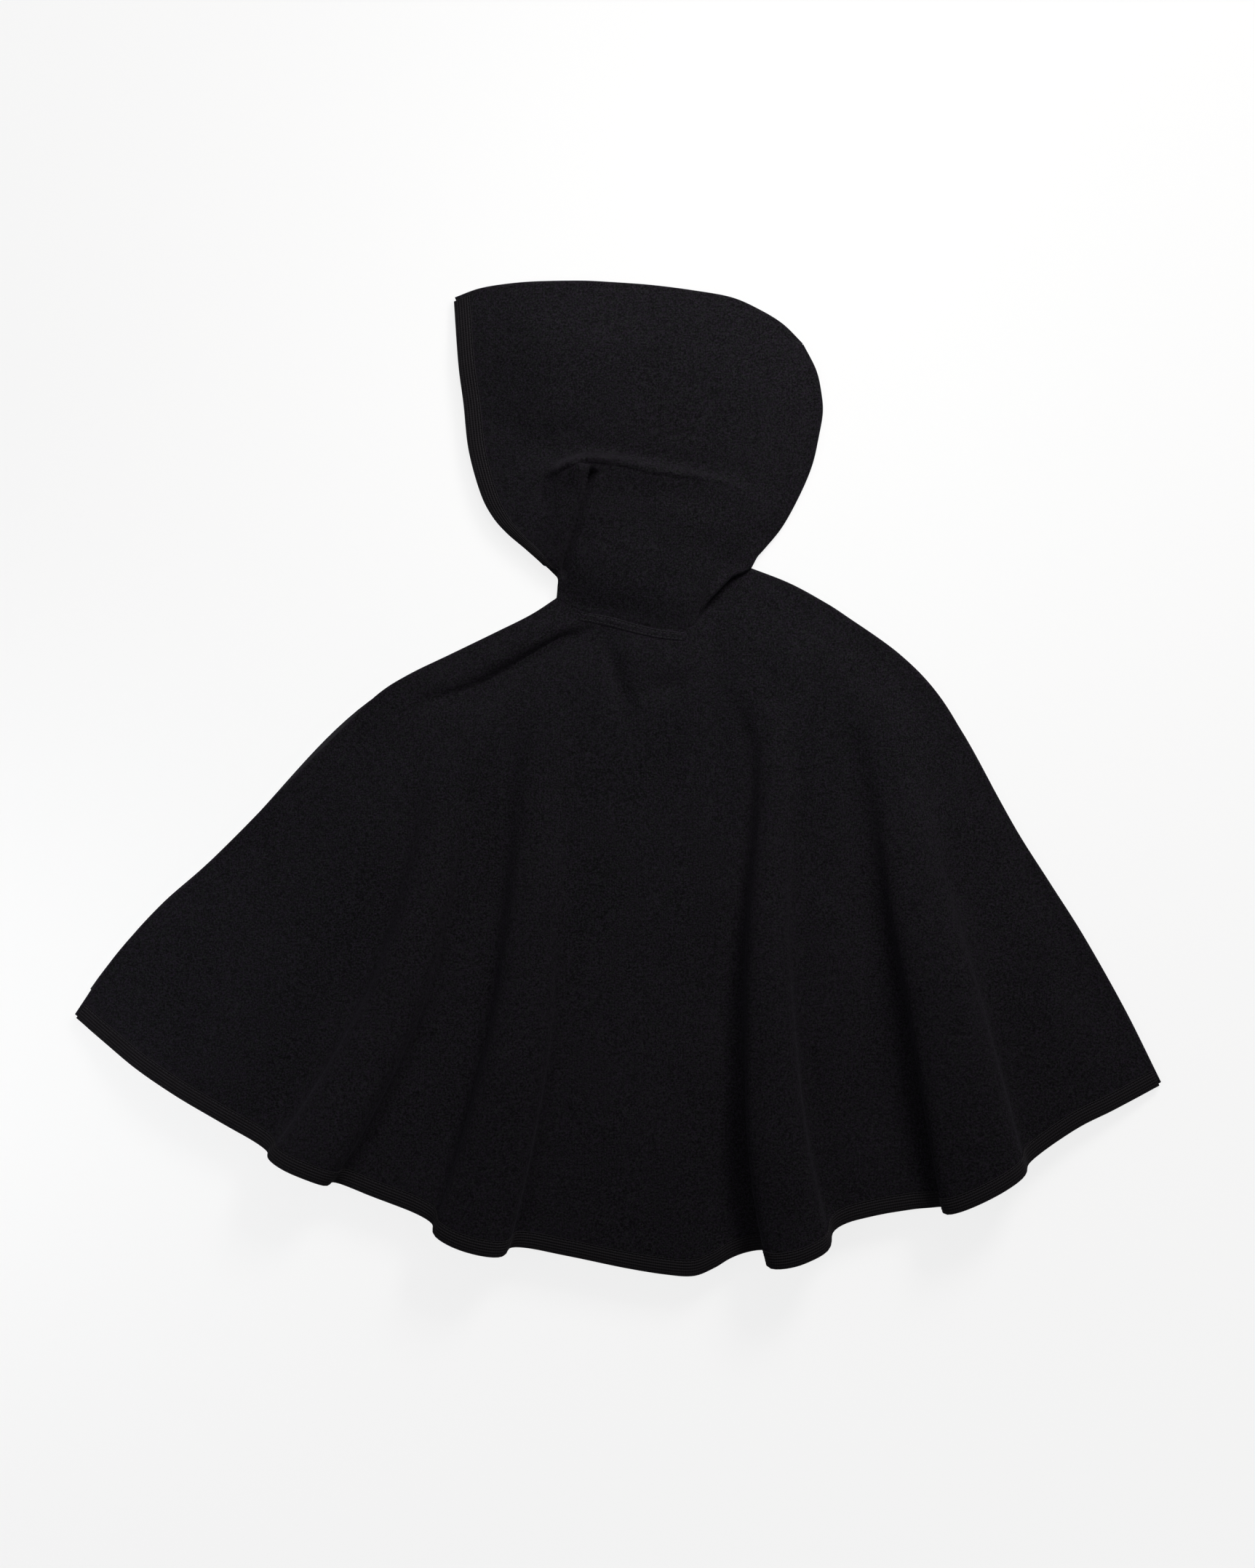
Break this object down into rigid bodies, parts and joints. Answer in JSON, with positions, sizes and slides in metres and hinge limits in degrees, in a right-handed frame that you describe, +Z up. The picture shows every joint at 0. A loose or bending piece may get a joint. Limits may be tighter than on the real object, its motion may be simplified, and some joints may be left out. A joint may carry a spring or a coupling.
{
  "type": "hooded cape",
  "caption": "Child's hooded cape in brushed wool knit, laid flat back up, with rib-bound edges and a hood that folds back.",
  "frame": {"origin": "on the surface the fronts lie on, under the middle of the laid-out cape", "axes": "+X from the wearer's left hem corner to the right one, +Y from hem to crown, +Z up through the layers, out of the cape's back"},
  "size_m": [0.84, 0.7646, 0.0386],
  "materials": {
    "wool_knit": "brushed wool knit, fuzzy, near black with a dark violet cast",
    "rib_tape": "fine rib-knit binding tape, near black",
    "thread": "spun polyester sewing thread, near black",
    "twill_tape": "woven cotton twill tape, near black",
    "snap_metal": "blackened brass press stud"
  },
  "bodies": {
    "cape": {"back_panel": "wool_knit", "front_panel_left": "wool_knit", "front_panel_right": "wool_knit", "hem_binding_back": "rib_tape", "hem_binding_left": "rib_tape", "hem_binding_right": "rib_tape", "front_binding_left": "rib_tape", "front_binding_right": "rib_tape", "side_seam_left": "thread", "side_seam_right": "thread", "neck_topstitching": "thread", "neck_tape": "twill_tape", "snap_socket": "snap_metal", "snap_stud": "snap_metal"},
    "hood": {"hood_panel_left": "wool_knit", "hood_panel_right": "wool_knit", "hood_binding_left": "rib_tape", "hood_binding_right": "rib_tape", "hood_seam": "thread"}
  },
  "joints": [
    {"name": "hood_fold", "type": "hinge", "parent": "cape", "child": "hood", "pos_m": [0.0045, 0.1255, 0.024], "axis": [0.9718, -0.2359, 0], "range_deg": [0, 165]}
  ]
}
